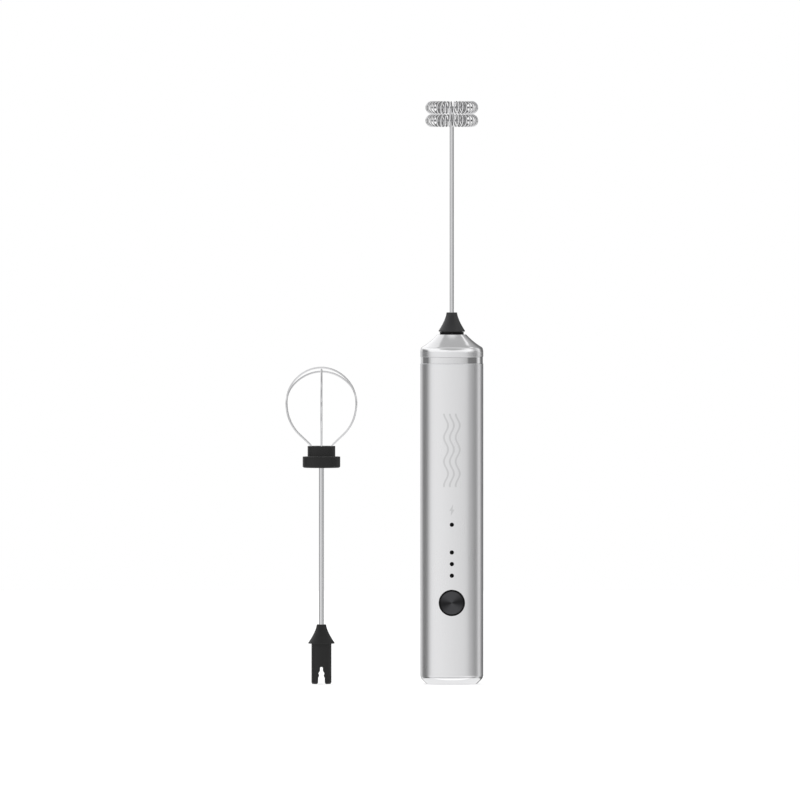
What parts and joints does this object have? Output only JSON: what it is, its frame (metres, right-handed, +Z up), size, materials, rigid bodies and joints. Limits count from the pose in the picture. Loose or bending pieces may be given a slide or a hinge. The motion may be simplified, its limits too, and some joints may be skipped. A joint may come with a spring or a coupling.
{
  "type": "milk frother",
  "caption": "Handheld rechargeable milk frother: round metal handle with a button and lights, a plug-in coil whisk in its nose, and a loose balloon whisk standing beside it.",
  "frame": {"origin": "centre of the handle's base, on the surface that it stands on", "axes": "+Z up along the handle, from the base to the whisk; -Y is the front, where the button is; the loose whisk stands on the -X side"},
  "size_m": [0.0878, 0.0366, 0.2589],
  "materials": {
    "satin_steel": "fine brushed, satin",
    "polished_metal": "polished",
    "whisk_steel": "drawn wire, bright",
    "plated_steel": "plated",
    "dark_steel": "dull",
    "brass": "machined",
    "copper_wire": "enamelled",
    "rubber": "matte",
    "black_plastic": "moulded, satin",
    "plug_plastic": "moulded, satin",
    "white_plastic": "moulded",
    "lead_insulation": "smooth",
    "battery_wrap": "shrink wrap",
    "circuit_board": "solder mask",
    "light_window": "smoked, glossy",
    "button_metal": "spun, dark anodised"
  },
  "bodies": {
    "handle": {"body_tube": "satin_steel", "base_cap": "polished_metal", "base_pad": "rubber", "base_screw": "plated_steel", "base_gasket": "rubber", "trim_ring": "polished_metal", "nose_cap": "polished_metal", "nose_oring": "rubber", "nose_bush": "brass", "shaft_seal": "rubber", "nose_screws": "plated_steel", "carrier_front": "black_plastic", "carrier_rear": "black_plastic", "carrier_screws": "plated_steel", "motor_can": "plated_steel", "motor_magnets": "dark_steel", "motor_end_bell": "white_plastic", "motor_bushes": "brass", "motor_terminals": "brass", "motor_damper": "rubber", "motor_screws": "plated_steel", "motor_leads": "lead_insulation", "battery_cell": "battery_wrap", "battery_tabs": "plated_steel", "battery_foam": "rubber", "circuit_board": "circuit_board", "board_screws": "plated_steel", "board_chips": "black_plastic", "indicator_lights": "white_plastic", "charge_light_guide": "light_window", "speed_light_guide": "light_window", "switch_body": "black_plastic", "button_bezel": "black_plastic", "button_seal": "rubber", "charge_board": "circuit_board", "charge_port": "plated_steel", "port_bezel": "black_plastic", "charge_leads": "lead_insulation"},
    "button": {"button_face": "button_metal", "button_cap": "black_plastic", "switch_plunger": "black_plastic"},
    "drive": {"drive_hub": "black_plastic", "drive_pin": "plated_steel", "motor_shaft": "plated_steel", "rotor_core": "dark_steel", "rotor_coils": "copper_wire", "commutator": "brass"},
    "froth_whisk": {"froth_plug": "plug_plastic", "froth_shaft": "whisk_steel", "froth_cores": "whisk_steel", "froth_coil_lower": "whisk_steel", "froth_coil_upper": "whisk_steel"},
    "balloon_whisk": {"balloon_plug": "plug_plastic", "balloon_shaft": "whisk_steel", "balloon_hub_base": "plug_plastic", "balloon_hub_top": "plug_plastic", "balloon_wire_a": "whisk_steel", "balloon_wire_b": "whisk_steel", "balloon_wire_c": "whisk_steel"}
  },
  "joints": [
    {"name": "button_press", "type": "slide", "parent": "handle", "child": "button", "axis": [0, 1, 0], "range_m": [0, 0.0006], "stiffness_N_per_m": 2500},
    {"name": "drive_spin", "type": "hinge", "parent": "handle", "child": "drive", "pos_m": [0, 0, 0.147], "axis": [0, 0, 1], "continuous": true},
    {"name": "whisk_release", "type": "slide", "parent": "drive", "child": "froth_whisk", "axis": [0, 0, 1], "range_m": [0, 0.022]},
    {"name": "balloon_lift", "type": "slide", "parent": "handle", "child": "balloon_whisk", "axis": [0, 0, 1], "range_m": [0, 0.04]}
  ]
}
